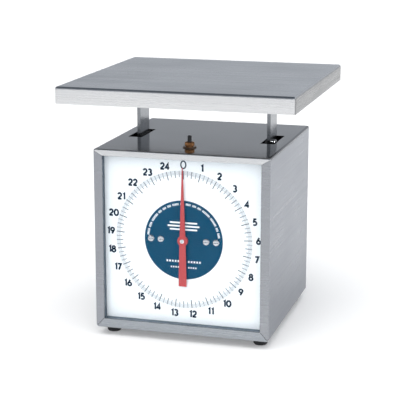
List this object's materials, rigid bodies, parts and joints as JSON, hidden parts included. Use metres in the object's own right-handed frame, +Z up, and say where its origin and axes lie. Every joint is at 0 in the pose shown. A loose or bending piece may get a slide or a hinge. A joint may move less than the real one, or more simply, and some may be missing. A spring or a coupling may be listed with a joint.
{
  "type": "mechanical dial platform scale",
  "caption": "Spring scale with a square steel platform on two posts, a box housing, and a round glazed dial whose pointer is turned by a rack and pinion.",
  "frame": {"origin": "on the floor, under the middle of the platform and housing", "axes": "+Z up, front with the dial towards -Y, +X to the right of a person who reads the dial"},
  "size_m": [0.314, 0.314, 0.341],
  "materials": {
    "stainless_sheet": "fine horizontal brushed grain",
    "stainless_post": "bright drawn bar",
    "clear_glass": "clear and flat",
    "gasket_rubber": "matte",
    "foot_rubber": "matte",
    "zinc_steel": "zinc plated",
    "dark_steel": "dark primer",
    "blackened_steel": "oiled spring steel",
    "bright_screw": "bright nickel",
    "white_enamel": "smooth enamel with printed scale",
    "red_enamel": "satin enamel",
    "brass": "turned",
    "zero_brass": "knurled and slightly dull",
    "pale_plastic": "moulded",
    "black_plastic": "moulded",
    "dashpot_aluminium": "drawn tube",
    "polished_shaft": "ground shaft"
  },
  "bodies": {
    "case": {"housing_wrap": "stainless_sheet", "top_cover": "stainless_sheet", "rear_cover": "stainless_sheet", "rear_cover_screws": "bright_screw", "lens": "clear_glass", "lens_gasket": "gasket_rubber", "lens_clips": "zinc_steel", "dial_plate": "white_enamel", "dial_screws": "bright_screw", "dial_spacers": "brass", "base_plate": "zinc_steel", "foot_front_left": "foot_rubber", "foot_front_right": "foot_rubber", "foot_rear_left": "foot_rubber", "foot_rear_right": "foot_rubber", "foot_screws": "zinc_steel", "front_frame": "zinc_steel", "rear_frame": "zinc_steel", "frame_screws": "zinc_steel", "pinion_bridge": "brass", "bridge_screws": "zinc_steel", "front_bush": "brass", "rear_bush": "brass", "rack_guide": "pale_plastic", "fulcrum_shafts": "polished_shaft", "fulcrum_clips": "blackened_steel", "dashpot_cylinder": "dashpot_aluminium", "dashpot_cap": "black_plastic", "overload_stops": "zinc_steel", "zero_washer": "zinc_steel", "main_spring_left": "blackened_steel", "main_spring_right": "blackened_steel"},
    "carriage": {"platform_pan": "stainless_sheet", "platform_spider": "zinc_steel", "platform_pads": "gasket_rubber", "platform_nuts": "zinc_steel", "post_left": "stainless_post", "post_right": "stainless_post", "post_foot_screws": "bright_screw", "post_screws": "bright_screw", "carriage_plate_left": "dark_steel", "carriage_plate_right": "dark_steel", "carriage_bridge": "zinc_steel", "spring_bar": "zinc_steel", "carriage_screws": "zinc_steel", "carriage_shafts": "polished_shaft", "carriage_clips": "blackened_steel", "rack": "brass", "rack_pin": "polished_shaft", "dashpot_rod": "polished_shaft", "dashpot_piston": "brass"},
    "pointer": {"pinion_shaft": "polished_shaft", "pointer": "red_enamel", "pointer_nut": "bright_screw"},
    "upper_link": {"upper_check_link": "zinc_steel"},
    "lower_link": {"lower_check_link": "zinc_steel"},
    "zero_nut": {"zero_nut": "zero_brass"},
    "hanger": {"zero_stud": "zinc_steel", "spring_hanger": "zinc_steel"}
  },
  "joints": [
    {"name": "platform_travel", "type": "slide", "parent": "case", "child": "carriage", "axis": [0, 0, -1], "range_m": [0, 0.02262], "stiffness_N_per_m": 4918.1, "springref_m": -0.0072, "deforming": ["main_spring_left", "main_spring_right"]},
    {"name": "pointer_spin", "type": "hinge", "parent": "case", "child": "pointer", "pos_m": [0, -0.1, 0.1372], "axis": [0, 1, 0], "range_deg": [0, 360.01]},
    {"name": "upper_link_swing", "type": "hinge", "parent": "case", "child": "upper_link", "pos_m": [0, 0.092, 0.211], "axis": [1, 0, 0], "range_deg": [0, 11.2]},
    {"name": "lower_link_swing", "type": "hinge", "parent": "case", "child": "lower_link", "pos_m": [0, 0.092, 0.064], "axis": [1, 0, 0], "range_deg": [0, 11.2]},
    {"name": "hanger_lift", "type": "slide", "parent": "case", "child": "hanger", "axis": [0, 0, 1], "range_m": [-0.0015, 0.0015]},
    {"name": "zero_nut_turn", "type": "hinge", "parent": "case", "child": "zero_nut", "pos_m": [0, -0.079, 0.2612], "axis": [0, 0, 1], "range_deg": [-541, 541]}
  ],
  "couplings": [
    {"joint": "pointer_spin", "follows": "platform_travel", "rad_per_m": 277.78},
    {"joint": "upper_link_swing", "follows": "platform_travel", "rad_per_m": 8.6207},
    {"joint": "lower_link_swing", "follows": "platform_travel", "rad_per_m": 8.6207},
    {"joint": "zero_nut_turn", "follows": "hanger_lift", "rad_per_m": -6283.2}
  ]
}
